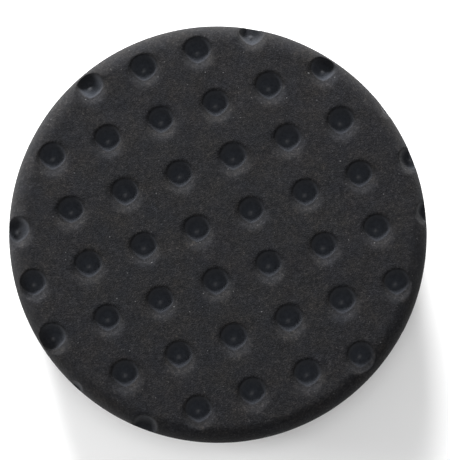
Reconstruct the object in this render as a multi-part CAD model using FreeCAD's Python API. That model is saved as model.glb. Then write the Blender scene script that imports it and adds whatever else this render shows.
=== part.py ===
"""Foam polishing pad with heat-formed pockets and a hook-and-loop back.

The pad is a bonded stack.  From the machine side up it is: the brushed pile
loops, the knitted ground that holds them, a hot-melt bond film, and the foam
disc whose upper face does the polishing.  Units are millimetres, +Z points
from the machine towards the work, and the origin is the centre of the plane
that the pile loops reach, which is where the backing plate takes hold.
"""

import FreeCAD
import Part

import math
import os

# Driving dimensions
PAD_DIAMETER = 165.0  # widest, just under the rounded rim of the face
PAD_HEIGHT = 32.0  # pile tips to polishing face
FOAM_BACK_DIAMETER = 154.0  # the wall tapers in to this at the bond film
LOOP_DIAMETER = 150.0  # matches a 150 mm backing plate
PILE_HEIGHT = 2.0
GROUND_THICKNESS = 0.6
FILM_THICKNESS = 0.3
RIM_RADIUS = 8.0  # rounding between the face and the wall
BACK_EDGE_RADIUS = 1.5

# Pockets: a square lattice, turned on the disc, that the rim cuts through
POCKET_PITCH = 22.3
POCKET_TURN = 18.6  # degrees, from +X to the lattice's first direction
POCKET_OFFSET = (-8.3, 0.6)  # the lattice point nearest the disc's centre
POCKET_RADIUS = 4.9
POCKET_DEPTH = 5.0
POCKET_FLOOR_ROUND = 1.6  # rounding between the pocket's wall and its floor
DISH_RADIUS = 8.8  # where the drawn-in lip meets the flat face
DISH_DEPTH = 1.6  # drop of the lip down to the top of the pocket's wall
NUB_RADIUS = 0.9  # the fused button in the middle of each floor
NUB_HEIGHT = 0.6

# Worked out from the above
PAD_RADIUS = PAD_DIAMETER / 2
FOAM_BACK_RADIUS = FOAM_BACK_DIAMETER / 2
LOOP_RADIUS = LOOP_DIAMETER / 2
GROUND_BASE = PILE_HEIGHT
FILM_BASE = GROUND_BASE + GROUND_THICKNESS
FOAM_BASE = FILM_BASE + FILM_THICKNESS
TOOL_CLEARANCE = 2.0  # how far a cutting tool stands above the face


def point(radius, height):
    """A point of a profile in the XZ plane."""
    return FreeCAD.Vector(radius, 0, height)


def line(start, end):
    return Part.LineSegment(start, end).toShape()


def arc(start, middle, end):
    return Part.Arc(start, middle, end).toShape()


def turned(edges):
    """The solid that a closed profile sweeps round the Z axis."""
    face = Part.Face(Part.Wire(edges))
    return face.revolve(FreeCAD.Vector(0, 0, 0), FreeCAD.Vector(0, 0, 1), 360)


def disc(radius, base, thickness):
    return Part.makeCylinder(radius, thickness, FreeCAD.Vector(0, 0, base))


def foam_blank():
    """The foam disc before its pockets: rounded rim, tapered wall, eased back edge."""
    rim_centre = point(PAD_RADIUS - RIM_RADIUS, PAD_HEIGHT - RIM_RADIUS)
    rise = PAD_HEIGHT - RIM_RADIUS - FOAM_BASE
    lean = math.atan2(PAD_RADIUS - FOAM_BACK_RADIUS, rise)

    def on_rim(angle):
        offset = point(RIM_RADIUS * math.cos(angle), RIM_RADIUS * math.sin(angle))
        return rim_centre + offset

    face_edge = on_rim(math.pi / 2)
    wall_top = on_rim(-lean)
    wall_foot = point(FOAM_BACK_RADIUS, FOAM_BASE + BACK_EDGE_RADIUS)
    back_edge = point(FOAM_BACK_RADIUS - BACK_EDGE_RADIUS, FOAM_BASE)
    ease = BACK_EDGE_RADIUS * (1 - math.sqrt(0.5))
    back_middle = point(FOAM_BACK_RADIUS - ease, FOAM_BASE + ease)
    centre_back = point(0, FOAM_BASE)
    centre_face = point(0, PAD_HEIGHT)
    return turned(
        [
            line(centre_back, back_edge),
            arc(back_edge, back_middle, wall_foot),
            line(wall_foot, wall_top),
            arc(wall_top, on_rim((math.pi / 2 - lean) / 2), face_edge),
            line(face_edge, centre_face),
            line(centre_face, centre_back),
        ]
    )


def pocket_tool():
    """What one hot pin takes out of the foam, standing on the Z axis."""
    floor = PAD_HEIGHT - POCKET_DEPTH
    lip_foot = point(POCKET_RADIUS, PAD_HEIGHT - DISH_DEPTH)
    lip_edge = point(DISH_RADIUS, PAD_HEIGHT)
    lip_run = DISH_RADIUS - POCKET_RADIUS
    lip_middle = point(POCKET_RADIUS + lip_run * 0.42, PAD_HEIGHT - DISH_DEPTH * 0.42)
    wall_foot = point(POCKET_RADIUS, floor + POCKET_FLOOR_ROUND)
    floor_edge = point(POCKET_RADIUS - POCKET_FLOOR_ROUND, floor)
    ease = POCKET_FLOOR_ROUND * (1 - math.sqrt(0.5))
    floor_middle = point(POCKET_RADIUS - ease, floor + ease)
    nub_edge = point(NUB_RADIUS, floor)
    nub_top = point(0, floor + NUB_HEIGHT)
    nub_middle = point(NUB_RADIUS * 0.6, floor + NUB_HEIGHT * 0.68)
    above = PAD_HEIGHT + TOOL_CLEARANCE
    return turned(
        [
            arc(nub_top, nub_middle, nub_edge),
            line(nub_edge, floor_edge),
            arc(floor_edge, floor_middle, wall_foot),
            line(wall_foot, lip_foot),
            arc(lip_foot, lip_middle, lip_edge),
            line(lip_edge, point(DISH_RADIUS, above)),
            line(point(DISH_RADIUS, above), point(0, above)),
            line(point(0, above), nub_top),
        ]
    )


def pocket_centres():
    """The lattice points whose pocket meets the disc."""
    turn = math.radians(POCKET_TURN)
    reach = int(PAD_DIAMETER / POCKET_PITCH)
    centres = []
    for row in range(-reach, reach + 1):
        for column in range(-reach, reach + 1):
            along = column * POCKET_PITCH
            across = row * POCKET_PITCH
            x = POCKET_OFFSET[0] + along * math.cos(turn) - across * math.sin(turn)
            y = POCKET_OFFSET[1] + along * math.sin(turn) + across * math.cos(turn)
            if math.hypot(x, y) < PAD_RADIUS:
                centres.append((x, y))
    return centres


def foam_disc():
    """The foam with its pockets, the ones that the rim cuts through included."""
    tool = pocket_tool()
    tools = []
    for x, y in pocket_centres():
        tools.append(tool.translated(FreeCAD.Vector(x, y, 0)))
    return foam_blank().cut(tools)


def write(name, shape):
    """One STEP file, after the shape is seen to be closed solids."""
    if not shape.isValid() or not shape.Solids:
        raise ValueError(f"{name} is not a valid solid")
    shape.exportStep(os.path.join("parts", name + ".step"))
    print(f"{name}: {len(shape.Solids)} solid, {shape.Volume / 1000:.1f} cm3")


def main():
    os.makedirs("parts", exist_ok=True)
    write("foam_disc", foam_disc())
    write("bond_film", disc(LOOP_RADIUS, FILM_BASE, FILM_THICKNESS))
    write("loop_ground", disc(LOOP_RADIUS, GROUND_BASE, GROUND_THICKNESS))
    write("loop_pile", disc(LOOP_RADIUS, 0, PILE_HEIGHT))
    print(f"pockets: {len(pocket_centres())}")


main()
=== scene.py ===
"""Foam polishing pad with heat-formed pockets and a loop-fabric back, in metres."""

import bpy
import math
import numpy as np
from mathutils import Matrix, Vector


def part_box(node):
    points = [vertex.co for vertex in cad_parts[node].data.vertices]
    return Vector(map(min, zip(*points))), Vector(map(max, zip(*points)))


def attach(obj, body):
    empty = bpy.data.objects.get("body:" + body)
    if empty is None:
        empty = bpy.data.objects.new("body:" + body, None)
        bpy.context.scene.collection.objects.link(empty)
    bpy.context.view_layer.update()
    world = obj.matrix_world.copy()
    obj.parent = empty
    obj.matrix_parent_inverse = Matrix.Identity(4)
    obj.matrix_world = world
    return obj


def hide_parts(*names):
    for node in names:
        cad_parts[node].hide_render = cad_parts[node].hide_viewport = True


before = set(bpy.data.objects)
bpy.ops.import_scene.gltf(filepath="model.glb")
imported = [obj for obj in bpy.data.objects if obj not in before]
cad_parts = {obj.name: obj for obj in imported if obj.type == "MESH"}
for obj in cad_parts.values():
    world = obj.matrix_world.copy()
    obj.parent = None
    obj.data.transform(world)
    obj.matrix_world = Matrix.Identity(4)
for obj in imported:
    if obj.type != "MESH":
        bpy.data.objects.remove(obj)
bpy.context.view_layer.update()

MM = 0.001
SEED = 7

# The foam disc, as the CAD has it
PAD_RADIUS = 82.5 * MM
RIM_RADIUS = 8.0 * MM
FLAT_EDGE = PAD_RADIUS - RIM_RADIUS
FOAM_BACK_RADIUS = 77.0 * MM
BACK_EDGE_RADIUS = 1.5 * MM
LOOP_RADIUS = 75.0 * MM
FACE_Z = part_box("foam_disc")[1][2]
FOAM_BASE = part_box("foam_disc")[0][2]
GROUND_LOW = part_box("loop_ground")[0][2]
GROUND_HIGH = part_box("loop_ground")[1][2]

# The pockets' square lattice
POCKET_PITCH = 22.3 * MM
POCKET_TURN = math.radians(18.6)
POCKET_OFFSET = (-8.3 * MM, 0.6 * MM)
POCKET_JITTER = 0.18 * MM
POCKET_SIZES = (0.97, 1.03)
POCKET_REACH = 10.5 * MM  # within this distance, points are drawn towards the hole's wall
POCKET_OUTSIDE = 0.4  # share of the reach that a lattice point may lie outside the disc

# The hole that the hot pin leaves, in mm from its axis out: distance, depth below the face
HOLE_PROFILE = [
    (0.0, 4.85),
    (1.8, 4.75),
    (2.9, 4.3),
    (3.7, 3.65),
    (4.3, 2.85),
    (4.8, 1.95),
    (5.2, 1.1),
    (5.6, 0.4),
    (6.1, 0.0),
]
# The drawn-in dish round it, also in mm, whose middle is a little off the hole's
DISH_PROFILE = [
    (0.0, 2.5),
    (2.7, 2.45),
    (3.6, 2.2),
    (4.4, 1.62),
    (5.0, 1.12),
    (5.6, 0.64),
    (6.2, 0.28),
    (6.9, 0.08),
    (7.9, 0.0),
]
DISH_SHIFT = (0.0, -0.9 * MM)
PINCH = 0.11  # how far the hole's lower corners draw in
LIP_BLEND = 0.6 * MM  # rounding where the dish meets the hole
LIP_FULL = 1.0 * MM  # depth at which that rounding is full
LEAST_BLEND = 0.001 * MM  # keeps the rounding from dividing by nothing

# The fused button on each pocket's floor
NUB_SHIFT = (-0.2 * MM, -0.3 * MM)
NUB_RADIUS = 0.8 * MM
NUB_HEIGHT = 0.8 * MM
BUTTON_HIGHLIGHT_POWER = 1.5  # makes the button's painted highlight narrower than its shape

# The depths over which the pockets' painted light comes in
SKIN_LIGHT_TOP = 1.8 * MM  # where the skin's painted light starts at the lower lip, which the key lights; at the upper lip, in shade, it is 0
SKIN_LIGHT_FADE = 1.3 * MM
FLOOR_LIGHT_DEPTHS = (2.2 * MM, 4.4 * MM)
SKIN_LIGHT_CUT = (0.2 * MM, 1.0 * MM)  # the skin's painted light shows only where the surface was pressed down

# Pockets that the rim cuts
RIM_FADE = 0.7  # share of the rim's radius over which the face gives way to the rim
RIM_SKIN_LIGHT = 0.45  # share of the skin's painted light left on a pocket at the rim
RIM_FOLLOW = 0.35  # how far a pocket on the rim drops with the rim
RIM_DEEPER = 0.5  # how much deeper than the others it is
DEEPEST = 7.6 * MM  # no pocket goes further down than this, even at the rim

# The foam's surface
FACE_CELLS = 280  # quads along each side of the square that is wrapped onto the disc
SWELLS = [(34.0 * MM, 0.07), (9.0 * MM, 0.025)]  # width, and height in mm
SWELL_DEPTHS = (0.4 * MM, 2.5 * MM)  # swells die away between these depths in a pocket
FACE_SINK = 0.12  # mm that the face lies under the CAD's, which leaves room for the swells
EDGE_SHARE = 0.05  # outer share of the grid over which swells and sink fade to nothing
CELL_NOISE = 0.012 * MM
WALL_RINGS = 10
WALL_WAVE = 12.0 * MM
WALL_WOBBLE = 0.10 * MM
WOBBLE_SHARE = 0.6  # how much of the wobble the waves use
BACK_RING = 0.6 * LOOP_RADIUS  # the last ring before the back closes at its middle

# The knitted ground
GROUND_CELLS = 150
RIB_PITCH = 2.0 * MM
RIB_HEIGHT = 0.10 * MM
RIB_DROP = 0.12 * MM  # how far the ribs' middle lies below the ground's own

# The brushed pile; half widths, heights and lean in mm
WALE = 1.25 * MM
COURSE = 1.15 * MM
YARN_RADIUS = 0.09 * MM
YARN_SIDES = 3
LOOP_SCATTER = 0.22 * MM
LOOP_HALF_WIDTHS = (0.45, 0.75)
LOOP_HEIGHTS = (1.35, 1.9)
LOOP_LEAN = 0.45
LOOP_MARGIN = 1.0 * MM  # bare ground between the loops' middles and the fabric's edge
LOOP_ROOT = 0.1 * MM  # how deep in the ground a loop starts
LOOP_STEPS = 7
LOOP_SWEEP = 1.16  # length of a loop's arc, in half turns
LOOP_START = 0.08  # how far before level it starts, in half turns

# The foam's tones: the place of each on its noise, and its colour
GRAIN_STOPS = [
    (0.30, (0.0020, 0.0020, 0.0023)),
    (0.52, (0.0067, 0.0069, 0.0080)),
    (0.74, (0.0210, 0.0207, 0.0220)),
]
MOTTLE_STOPS = [
    (0.32, (0.45, 0.47, 0.53)),
    (0.5, (1.0, 0.99, 0.97)),
    (0.68, (1.75, 1.65, 1.50)),
]
BLOTCH_STOPS = [
    (0.3, (0.76, 0.83, 0.98)),
    (0.5, (0.97, 0.97, 1.0)),
    (0.7, (1.16, 1.08, 0.98)),
]
SPECK_STOPS = [(0.83, (0.0, 0.0, 0.0)), (0.90, (0.07, 0.07, 0.07))]
# The pockets' skin and floor colours are painted much lighter than the foam: painted light
# that lifts the shade in the deep pockets. Their bluer cast is the fused skin's own.
SKIN_PAINTED_LIGHT_STOPS = [(0.3, (0.020, 0.022, 0.027)), (0.7, (0.029, 0.031, 0.037))]
FLOOR_PAINTED_LIGHT_STOPS = [(0.3, (0.015, 0.017, 0.022)), (0.7, (0.023, 0.026, 0.032))]
# The button's light colour is a painted highlight on each pocket's floor.
BUTTON_HIGHLIGHT_STOPS = [(0.3, (0.066, 0.068, 0.074)), (0.7, (0.080, 0.082, 0.088))]

# The studio
FLOOR_HALF = 1.5
LIGHT_DISTANCE = 1.6
SURROUND_STRENGTH = 0.36
WHITE = (1.0, 1.0, 1.0, 1.0)


def smooth_step(low, high, value):
    t = np.clip((value - low) / (high - low), 0.0, 1.0)
    return t * t * (3.0 - 2.0 * t)


def soft_min(a, b, blend):
    """The lesser of two heights, rounded over where they cross."""
    h = np.clip(0.5 + 0.5 * (b - a) / blend, 0.0, 1.0)
    return b * (1.0 - h) + a * h - blend * h * (1.0 - h)


def ripple(x, y, rng, scale, waves=24):
    """A smooth random field of about unit height whose bumps are about scale across."""
    total = np.zeros_like(x)
    for _ in range(waves):
        heading = rng.uniform(0.0, math.tau)
        turns = math.tau / (scale * rng.uniform(0.7, 1.6))
        phase = rng.uniform(0.0, math.tau)
        total += np.sin(turns * (x * math.cos(heading) + y * math.sin(heading)) + phase)
    return total / math.sqrt(waves / 2.0)


def make_mesh(name, vertices, faces):
    mesh = bpy.data.meshes.new(name)
    mesh.from_pydata(vertices, [], faces)
    mesh.update()
    mesh.shade_smooth()
    piece = bpy.data.objects.new(name, mesh)
    bpy.context.scene.collection.objects.link(piece)
    return piece


def wrapped_square(cells):
    """Radius from 0 to 1 and angle of each point of a square grid wrapped onto a disc."""
    side = np.linspace(-1.0, 1.0, cells + 1)
    u, v = np.meshgrid(side, side, indexing="xy")
    x = u * np.sqrt(1.0 - v * v / 2.0)
    y = v * np.sqrt(1.0 - u * u / 2.0)
    return np.hypot(x, y).ravel(), np.arctan2(y, x).ravel()


def grid_numbers(cells):
    """Point numbers of a wrapped square's upward quads, and of its border in order."""
    side = cells + 1
    index = np.arange(side * side).reshape(side, side)
    corners = [index[:-1, :-1], index[:-1, 1:], index[1:, 1:], index[1:, :-1]]
    quads = np.stack(corners, axis=-1).reshape(-1, 4)
    edges = [index[0, :-1], index[:-1, -1], index[-1, :0:-1], index[:0:-1, 0]]
    return [tuple(quad) for quad in quads.tolist()], np.concatenate(edges).tolist()


def pocket_centres(rng):
    """The lattice points whose pocket meets the disc, each a little off in place and size."""
    reach = int(2.0 * PAD_RADIUS / POCKET_PITCH)
    limit = PAD_RADIUS + POCKET_REACH * POCKET_OUTSIDE
    cosine = math.cos(POCKET_TURN)
    sine = math.sin(POCKET_TURN)
    centres = []
    for row in range(-reach, reach + 1):
        for column in range(-reach, reach + 1):
            along = column * POCKET_PITCH
            across = row * POCKET_PITCH
            x = POCKET_OFFSET[0] + along * cosine - across * sine
            y = POCKET_OFFSET[1] + along * sine + across * cosine
            shift = rng.normal(0.0, POCKET_JITTER, 2)
            if math.hypot(x, y) < limit:
                centres.append((x + shift[0], y + shift[1], rng.uniform(*POCKET_SIZES)))
    return centres


def rim_profile(run):
    """Radius and height of the face and its rounded rim at a run outward from the centre."""
    angle = np.clip((run - FLAT_EDGE) / RIM_RADIUS, 0.0, None)
    radius = np.where(run < FLAT_EDGE, run, FLAT_EDGE + RIM_RADIUS * np.sin(angle))
    height = FACE_Z - RIM_RADIUS + RIM_RADIUS * np.cos(angle)
    return radius, height


def profile_depth(profile, distance):
    """Depth below the face at a distance from a profile's axis."""
    table = np.array(profile) * MM
    return np.interp(distance, table[:, 0], table[:, 1])


def crowded(distance):
    """Draws points towards the hole's wall, where the surface is steepest."""
    table = np.array(HOLE_PROFILE + [(POCKET_REACH / MM, 0.0)]) * MM
    runs = np.hypot(np.diff(table[:, 0]), np.diff(table[:, 1]))
    travel = np.concatenate([[0.0], np.cumsum(runs)])
    return np.interp(distance, travel / travel[-1] * POCKET_REACH, table[:, 0])


def drawn_in(x, y, cx, cy, on_face):
    """The points, once those near one pocket have moved towards its wall."""
    dx = x - cx
    dy = y - cy
    distance = np.hypot(dx, dy)
    near = distance < POCKET_REACH
    target = distance + (crowded(distance) - distance) * on_face
    scale = np.where(near, target / np.maximum(distance, 1e-9), 1.0)
    return np.where(near, cx + dx * scale, x), np.where(near, cy + dy * scale, y)


def one_pocket(x, y, cx, cy, size):
    """Depth of one pocket at each point, and the painted light on its skin and floor and the
    painted highlight on its button.
    """
    around = np.arctan2(y - cy, x - cx)
    pinch = 1.0 + PINCH * np.abs(np.sin(2.0 * around)) * (around < 0.0)
    hole = profile_depth(HOLE_PROFILE, np.hypot(x - cx, y - cy) * pinch / size)
    from_dish = np.hypot(x - cx - DISH_SHIFT[0], y - cy - DISH_SHIFT[1])
    dish = profile_depth(DISH_PROFILE, from_dish / size)
    from_nub = np.hypot(x - cx - NUB_SHIFT[0], y - cy - NUB_SHIFT[1])
    button = np.exp(-((from_nub / NUB_RADIUS) ** 2))
    deeper = np.maximum(hole, dish)
    blend = LIP_BLEND * smooth_step(0.0, LIP_FULL, deeper) + LEAST_BLEND
    sunk = -soft_min(-hole, -dish, blend) - button * NUB_HEIGHT
    # The skin's painted light starts lower at the lower lip, which the key lights, than at the
    # upper lip, which lies in shade.
    skin_light_top = SKIN_LIGHT_TOP * (0.5 - 0.5 * np.sin(around))
    tones = {
        "skin_light": smooth_step(skin_light_top, skin_light_top + SKIN_LIGHT_FADE, hole),
        "bottom": smooth_step(*FLOOR_LIGHT_DEPTHS, hole),
        "button_highlight": button**BUTTON_HIGHLIGHT_POWER,
    }
    return np.where(deeper > 0.0, sunk, 0.0), tones


def press_pockets(x, y, z, centres):
    """Moves face points into the pockets. Returns the points, their depths and their tones of
    painted light.
    """
    face_end = FLAT_EDGE + RIM_RADIUS * RIM_FADE
    on_face = 1.0 - smooth_step(FLAT_EDGE, face_end, np.hypot(x, y))
    depth = np.zeros_like(x)
    tones = {name: np.zeros_like(x) for name in ("skin_light", "bottom", "button_highlight")}
    for cx, cy, size in centres:
        x, y = drawn_in(x, y, cx, cy, on_face)
        sunk, own_tones = one_pocket(x, y, cx, cy, size)
        depth = np.maximum(depth, sunk)
        for name, values in own_tones.items():
            tones[name] = np.maximum(tones[name], values)
    start = FACE_Z - (FACE_Z - z) * RIM_FOLLOW
    depth = depth * (1.0 + RIM_DEEPER * (1.0 - on_face))
    pressed = np.minimum(z, np.maximum(start - depth, FACE_Z - DEEPEST))
    cut = smooth_step(*SKIN_LIGHT_CUT, z - pressed)
    # Less painted light on the pockets that the rim cuts, and none where the surface was not
    # pressed down.
    tones["skin_light"] = tones["skin_light"] * cut * (RIM_SKIN_LIGHT + (1.0 - RIM_SKIN_LIGHT) * on_face)
    return x, y, pressed, depth, tones


def foam_outline(wall_run):
    """Radius, height and wobble of each ring below the face: wall, back edge and back."""
    top_radius, top_height = rim_profile(np.array([wall_run]))
    foot = FOAM_BASE + BACK_EDGE_RADIUS
    outline = []
    for ring in range(1, WALL_RINGS + 1):
        part = ring / WALL_RINGS
        radius = top_radius[0] + (FOAM_BACK_RADIUS - top_radius[0]) * part
        height = top_height[0] + (foot - top_height[0]) * part
        outline.append((radius, height, math.sin(math.pi * part) * WALL_WOBBLE))
    for step in (30.0, 60.0, 90.0):
        bend = math.radians(step)
        radius = FOAM_BACK_RADIUS - BACK_EDGE_RADIUS * (1.0 - math.cos(bend))
        height = foot - BACK_EDGE_RADIUS * math.sin(bend)
        outline.append((radius, height, 0.0))
    outline.append((BACK_RING, FOAM_BASE, 0.0))
    return outline


def close_foam(points, faces, border, heading, outline, rng):
    """Adds the rings that hang from the grid's border, and closes the back."""
    last = border
    count = len(border)
    for ring_radius, ring_height, wobble in outline:
        level = np.full(count, ring_height)
        waves = ripple(heading * PAD_RADIUS, level, rng, WALL_WAVE, waves=8)
        reach = ring_radius - wobble + waves * wobble * WOBBLE_SHARE
        ring = list(range(len(points), len(points) + count))
        for a, r in zip(heading, reach):
            points.append((r * math.cos(a), r * math.sin(a), ring_height))
        for i in range(count):
            j = (i + 1) % count
            faces.append((last[j], last[i], ring[i], ring[j]))
        last = ring
    middle = len(points)
    points.append((0.0, 0.0, FOAM_BASE))
    for i in range(count):
        faces.append((last[(i + 1) % count], last[i], middle))


def foam_body():
    """The foam: face and rim in one grid, then rings down the wall and across the back."""
    rng = np.random.default_rng(SEED)
    centres = pocket_centres(rng)
    rise = FACE_Z - RIM_RADIUS - FOAM_BASE
    lean = math.atan2(PAD_RADIUS - FOAM_BACK_RADIUS, rise)
    wall_run = FLAT_EDGE + RIM_RADIUS * (math.pi / 2.0 + lean)
    share, angle = wrapped_square(FACE_CELLS)
    radius, z = rim_profile(share * wall_run)
    x = radius * np.cos(angle)
    y = radius * np.sin(angle)
    x, y, z, depth, tones = press_pockets(x, y, z, centres)
    shallow = 1.0 - smooth_step(*SWELL_DEPTHS, depth)
    swell = sum(ripple(x, y, rng, width) * height for width, height in SWELLS)
    edge = smooth_step(0.0, EDGE_SHARE, 1.0 - share)
    cells = rng.normal(0.0, CELL_NOISE, len(z))
    z = z + (swell * shallow - FACE_SINK) * MM * edge + cells * edge

    faces, border = grid_numbers(FACE_CELLS)
    points = list(zip(x.tolist(), y.tolist(), z.tolist()))
    face_count = len(points)
    close_foam(points, faces, border, angle[border], foam_outline(wall_run), rng)

    piece = make_mesh("foam_body", points, faces)
    for name, values in tones.items():
        filled = np.zeros(len(points), np.float32)
        filled[:face_count] = values
        layer = piece.data.attributes.new(name, "FLOAT", "POINT")
        layer.data.foreach_set("value", filled)
    return piece


def knit_ground():
    """The knitted ground: a thin disc with ribs along its wales."""
    share, angle = wrapped_square(GROUND_CELLS)
    x = share * LOOP_RADIUS * np.cos(angle)
    y = share * LOOP_RADIUS * np.sin(angle)
    middle = (GROUND_LOW + GROUND_HIGH) / 2.0
    rib = np.sin(x * math.tau / RIB_PITCH) * RIB_HEIGHT
    low = middle - RIB_DROP + rib
    points = list(zip(x.tolist(), y.tolist(), low.tolist()))
    count = len(points)
    points += list(zip(x.tolist(), y.tolist(), [GROUND_HIGH] * count))

    quads, border = grid_numbers(GROUND_CELLS)
    faces = [(a, d, c, b) for a, b, c, d in quads]
    faces += [(b + count, c + count, d + count, a + count) for a, b, c, d in quads]
    for i, here in enumerate(border):
        following = border[(i + 1) % len(border)]
        faces.append((here, following, following + count, here + count))
    return make_mesh("knit_ground", points, faces)


def add_loop(points, faces, root, width, height, heading, lean):
    """Adds one arc of yarn that hangs from its root in the ground, closed at both ends."""
    across = Vector((math.cos(heading), math.sin(heading), 0.0))
    beside = Vector((-across.y, across.x, 0.0))
    start = len(points)
    for step in range(LOOP_STEPS):
        part = math.pi * (step / (LOOP_STEPS - 1) * LOOP_SWEEP - LOOP_START)
        up = max(0.0, math.sin(part))
        centre = root + (across * (-math.cos(part) * width) + beside * (lean * up))
        centre.z -= height * up
        outward = across * -math.cos(part) + Vector((0.0, 0.0, -math.sin(part)))
        for corner in range(YARN_SIDES):
            turn = math.tau * corner / YARN_SIDES
            offset = outward * math.cos(turn) + beside * math.sin(turn)
            points.append(tuple(centre + offset * YARN_RADIUS))
    for step in range(LOOP_STEPS - 1):
        for corner in range(YARN_SIDES):
            a = start + step * YARN_SIDES + corner
            b = start + step * YARN_SIDES + (corner + 1) % YARN_SIDES
            faces.append((a, b, b + YARN_SIDES, a + YARN_SIDES))
    end = start + (LOOP_STEPS - 1) * YARN_SIDES
    faces.append(tuple(reversed(range(start, start + YARN_SIDES))))
    faces.append(tuple(range(end, end + YARN_SIDES)))


def loop_band(name, low_y, high_y, rng):
    """One band of the brushed pile: small yarn loops on the ground that lean at random."""
    points = []
    faces = []
    row_y = low_y
    while row_y < high_y:
        for column_x in np.arange(-LOOP_RADIUS, LOOP_RADIUS, WALE):
            x = column_x + rng.normal(0.0, LOOP_SCATTER)
            y = row_y + rng.normal(0.0, LOOP_SCATTER)
            width = rng.uniform(*LOOP_HALF_WIDTHS) * MM
            height = rng.uniform(*LOOP_HEIGHTS) * MM
            heading = rng.uniform(0.0, math.tau)
            lean = rng.uniform(-LOOP_LEAN, LOOP_LEAN) * MM
            if math.hypot(x, y) <= LOOP_RADIUS - LOOP_MARGIN:
                root = Vector((x, y, GROUND_LOW + LOOP_ROOT))
                add_loop(points, faces, root, width, height, heading, lean)
        row_y += COURSE
    return make_mesh(name, points, faces)


class Nodes:
    """A material's node tree, with short ways to add and join nodes."""

    def __init__(self, name):
        self.material = bpy.data.materials.new(name)
        self.material.use_nodes = True
        self.tree = self.material.node_tree
        self.shader = self.tree.nodes["Principled BSDF"]
        self.place = self.add("ShaderNodeTexCoord").outputs["Object"]

    def add(self, kind, **settings):
        node = self.tree.nodes.new(kind)
        for key, value in settings.items():
            setattr(node, key, value)
        return node

    def join(self, source, target):
        self.tree.links.new(source, target)

    def stored(self, name):
        """A tone that the mesh holds at its points."""
        return self.add("ShaderNodeAttribute", attribute_name=name).outputs["Fac"]

    def noise(self, scale, detail=3.0, roughness=0.55):
        node = self.add("ShaderNodeTexNoise")
        node.inputs["Scale"].default_value = scale
        node.inputs["Detail"].default_value = detail
        node.inputs["Roughness"].default_value = roughness
        self.join(self.place, node.inputs["Vector"])
        return node.outputs["Fac"]

    def cells(self, scale):
        node = self.add("ShaderNodeTexVoronoi")
        node.inputs["Scale"].default_value = scale
        self.join(self.place, node.inputs["Vector"])
        return node.outputs["Distance"]

    def ramp(self, source, stops):
        node = self.add("ShaderNodeValToRGB")
        elements = node.color_ramp.elements
        while len(elements) < len(stops):
            elements.new(0.5)
        for element, (position, colour) in zip(elements, stops):
            element.position = position
            element.color = (*colour, 1.0)
        self.join(source, node.inputs["Fac"])
        return node.outputs["Color"]

    def mix(self, factor, first, second, blend="MIX"):
        node = self.add("ShaderNodeMix", data_type="RGBA", blend_type=blend)
        if isinstance(factor, float):
            node.inputs[0].default_value = factor
        else:
            self.join(factor, node.inputs[0])
        self.join(first, node.inputs[6])
        self.join(second, node.inputs[7])
        return node.outputs[2]

    def bump(self, height, strength, distance, normal=None):
        node = self.add("ShaderNodeBump")
        node.inputs["Strength"].default_value = strength
        node.inputs["Distance"].default_value = distance
        self.join(height, node.inputs["Height"])
        if normal is not None:
            self.join(normal, node.inputs["Normal"])
        return node.outputs["Normal"]

    def colour(self, source):
        self.join(source, self.shader.inputs["Base Color"])

    def relief(self, source):
        self.join(source, self.shader.inputs["Normal"])

    def set(self, **values):
        for key, value in values.items():
            self.shader.inputs[key.replace("_", " ")].default_value = value

    def give(self, piece):
        piece.data.materials.clear()
        piece.data.materials.append(self.material)


def foam_material():
    """Fine-celled black foam. The pockets' fused skins and floors are painted lighter than the
    foam, as painted light in the pockets' shade, with a painted highlight on each button.
    Their bluer cast is the skin's own.
    """
    nodes = Nodes("foam")
    grain = nodes.noise(1500.0, 4.0, 0.7)
    mottle = nodes.noise(620.0, 3.0, 0.7)
    blotch = nodes.noise(95.0, 3.0, 0.6)
    speck = nodes.noise(1000.0, 0.0)
    pocket_grain = nodes.noise(700.0, 2.0)

    plain = nodes.ramp(grain, GRAIN_STOPS)
    plain = nodes.mix(1.0, plain, nodes.ramp(mottle, MOTTLE_STOPS), "MULTIPLY")
    plain = nodes.mix(1.0, plain, nodes.ramp(blotch, BLOTCH_STOPS), "MULTIPLY")
    plain = nodes.mix(1.0, plain, nodes.ramp(speck, SPECK_STOPS), "ADD")
    # Painted light in the pockets' shade, and a painted highlight on each button.
    wall_light = nodes.ramp(pocket_grain, SKIN_PAINTED_LIGHT_STOPS)
    pocket_light = nodes.mix(nodes.stored("bottom"), wall_light, nodes.ramp(pocket_grain, FLOOR_PAINTED_LIGHT_STOPS))
    pocket_light = nodes.mix(nodes.stored("button_highlight"), pocket_light, nodes.ramp(blotch, BUTTON_HIGHLIGHT_STOPS))
    nodes.colour(nodes.mix(nodes.stored("skin_light"), plain, pocket_light))

    cells = nodes.bump(nodes.cells(1900.0), 0.55, 0.00016)
    nodes.relief(nodes.bump(grain, 0.5, 0.00018, cells))
    nodes.set(Roughness=0.92, Specular_IOR_Level=0.14, Sheen_Weight=0.03, Sheen_Roughness=0.6)
    return nodes


def yarn_material(name, dark, light):
    """Nylon yarn whose tone varies from place to place."""
    nodes = Nodes(name)
    tone = nodes.noise(420.0, 3.0, 0.6)
    nodes.colour(nodes.ramp(tone, [(0.3, dark), (0.7, light)]))
    nodes.relief(nodes.bump(nodes.noise(5200.0, 2.0), 0.4, 0.00005))
    nodes.set(Roughness=0.62, Specular_IOR_Level=0.4, Sheen_Weight=0.25, Sheen_Roughness=0.4)
    return nodes


def film_material():
    """Set hot-melt adhesive: milky amber, slightly glossy and uneven."""
    nodes = Nodes("bond_film")
    tone = nodes.noise(240.0, 3.0, 0.6)
    nodes.colour(nodes.ramp(tone, [(0.3, (0.50, 0.45, 0.33)), (0.7, (0.70, 0.66, 0.54))]))
    nodes.relief(nodes.bump(tone, 0.4, 0.0001))
    nodes.set(Roughness=0.38, Specular_IOR_Level=0.5)
    return nodes


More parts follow.
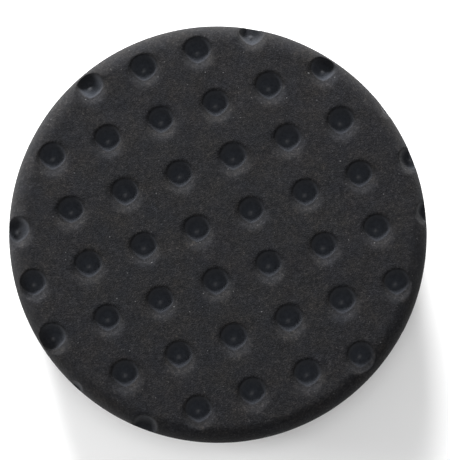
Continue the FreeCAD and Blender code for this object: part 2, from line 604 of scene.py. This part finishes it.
def floor():
    """A plain pale floor that the pad lies on."""
    ends = [(-1, -1), (1, -1), (1, 1), (-1, 1)]
    corners = [(x * FLOOR_HALF, y * FLOOR_HALF, 0.0) for x, y in ends]
    mesh = bpy.data.meshes.new("floor")
    mesh.from_pydata(corners, [], [(0, 1, 2, 3)])
    piece = bpy.data.objects.new("floor", mesh)
    bpy.context.scene.collection.objects.link(piece)
    nodes = Nodes("floor")
    pale = [(0.3, (0.94, 0.94, 0.94)), (0.7, (0.96, 0.96, 0.96))]
    nodes.colour(nodes.ramp(nodes.noise(3.0), pale))
    nodes.set(Roughness=0.9, Specular_IOR_Level=0.1)
    nodes.give(piece)


def surround():
    """A world that lights the pad dimly from all sides and that the camera sees as white."""
    world = bpy.data.worlds.new("studio")
    world.use_nodes = True
    nodes = world.node_tree.nodes
    links = world.node_tree.links
    lighting = nodes["Background"]
    lighting.inputs["Color"].default_value = WHITE
    lighting.inputs["Strength"].default_value = SURROUND_STRENGTH
    backdrop = nodes.new("ShaderNodeBackground")
    backdrop.inputs["Color"].default_value = WHITE
    seen = nodes.new("ShaderNodeLightPath")
    choice = nodes.new("ShaderNodeMixShader")
    links.new(seen.outputs["Is Camera Ray"], choice.inputs[0])
    links.new(lighting.outputs["Background"], choice.inputs[1])
    links.new(backdrop.outputs["Background"], choice.inputs[2])
    links.new(choice.outputs["Shader"], nodes["World Output"].inputs["Surface"])
    bpy.context.scene.world = world


def area_light(name, heading, elevation, size, power):
    """A soft square light aimed at the middle of the pad, from angles in degrees."""
    light = bpy.data.lights.new(name, "AREA")
    light.size = size
    light.energy = power
    holder = bpy.data.objects.new(name, light)
    turn = math.radians(heading)
    rise = math.radians(elevation)
    level = math.cos(rise)
    away = Vector((math.cos(turn) * level, math.sin(turn) * level, math.sin(rise)))
    holder.location = away * LIGHT_DISTANCE
    holder.rotation_euler = (-away).to_track_quat("-Z", "Y").to_euler()
    bpy.context.scene.collection.objects.link(holder)


def studio():
    """A low key over the top edge, a weaker light low on the left, and one overhead."""
    surround()
    area_light("key", heading=101.0, elevation=18.0, size=0.6, power=94.0)
    area_light("side", heading=168.0, elevation=9.0, size=0.6, power=34.0)
    area_light("top", heading=90.0, elevation=89.0, size=1.0, power=10.0)
    bpy.context.scene.view_settings.view_transform = "Standard"


def camera():
    """Almost straight above the face, leaning a little towards the bottom and the left."""
    data = bpy.data.cameras.new("camera")
    data.sensor_width = 36.0
    data.lens = 108.0
    holder = bpy.data.objects.new("camera", data)
    back = -Vector((0.0275, 0.0821, -0.9962)).normalized()
    up = Vector((-0.0023, 0.9966, 0.0821))
    right = up.cross(back).normalized()
    turn = Matrix((right, back.cross(right), back)).transposed().to_4x4()
    place = Vector((-12.5, -43.9, 567.4)) * MM
    holder.matrix_world = Matrix.Translation(place) @ turn
    bpy.context.scene.collection.objects.link(holder)
    bpy.context.scene.camera = holder


def main():
    foam = foam_body()
    foam_material().give(foam)
    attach(foam, "root")
    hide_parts("foam_disc")

    film_material().give(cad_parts["bond_film"])

    ground = knit_ground()
    yarn_material("loop_ground", (0.11, 0.115, 0.125), (0.19, 0.195, 0.205)).give(ground)
    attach(ground, "root")
    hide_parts("loop_ground")

    rng = np.random.default_rng(SEED + 1)
    pile = yarn_material("loop_pile", (0.22, 0.23, 0.25), (0.38, 0.39, 0.41))
    bands = 3
    depth = 2.0 * LOOP_RADIUS / bands
    for band in range(bands):
        low = -LOOP_RADIUS + band * depth
        loops = loop_band(f"loop_pile_{band + 1}", low, low + depth, rng)
        pile.give(loops)
        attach(loops, "root")
        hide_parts("loop_pile")

    floor()
    studio()
    camera()


main()
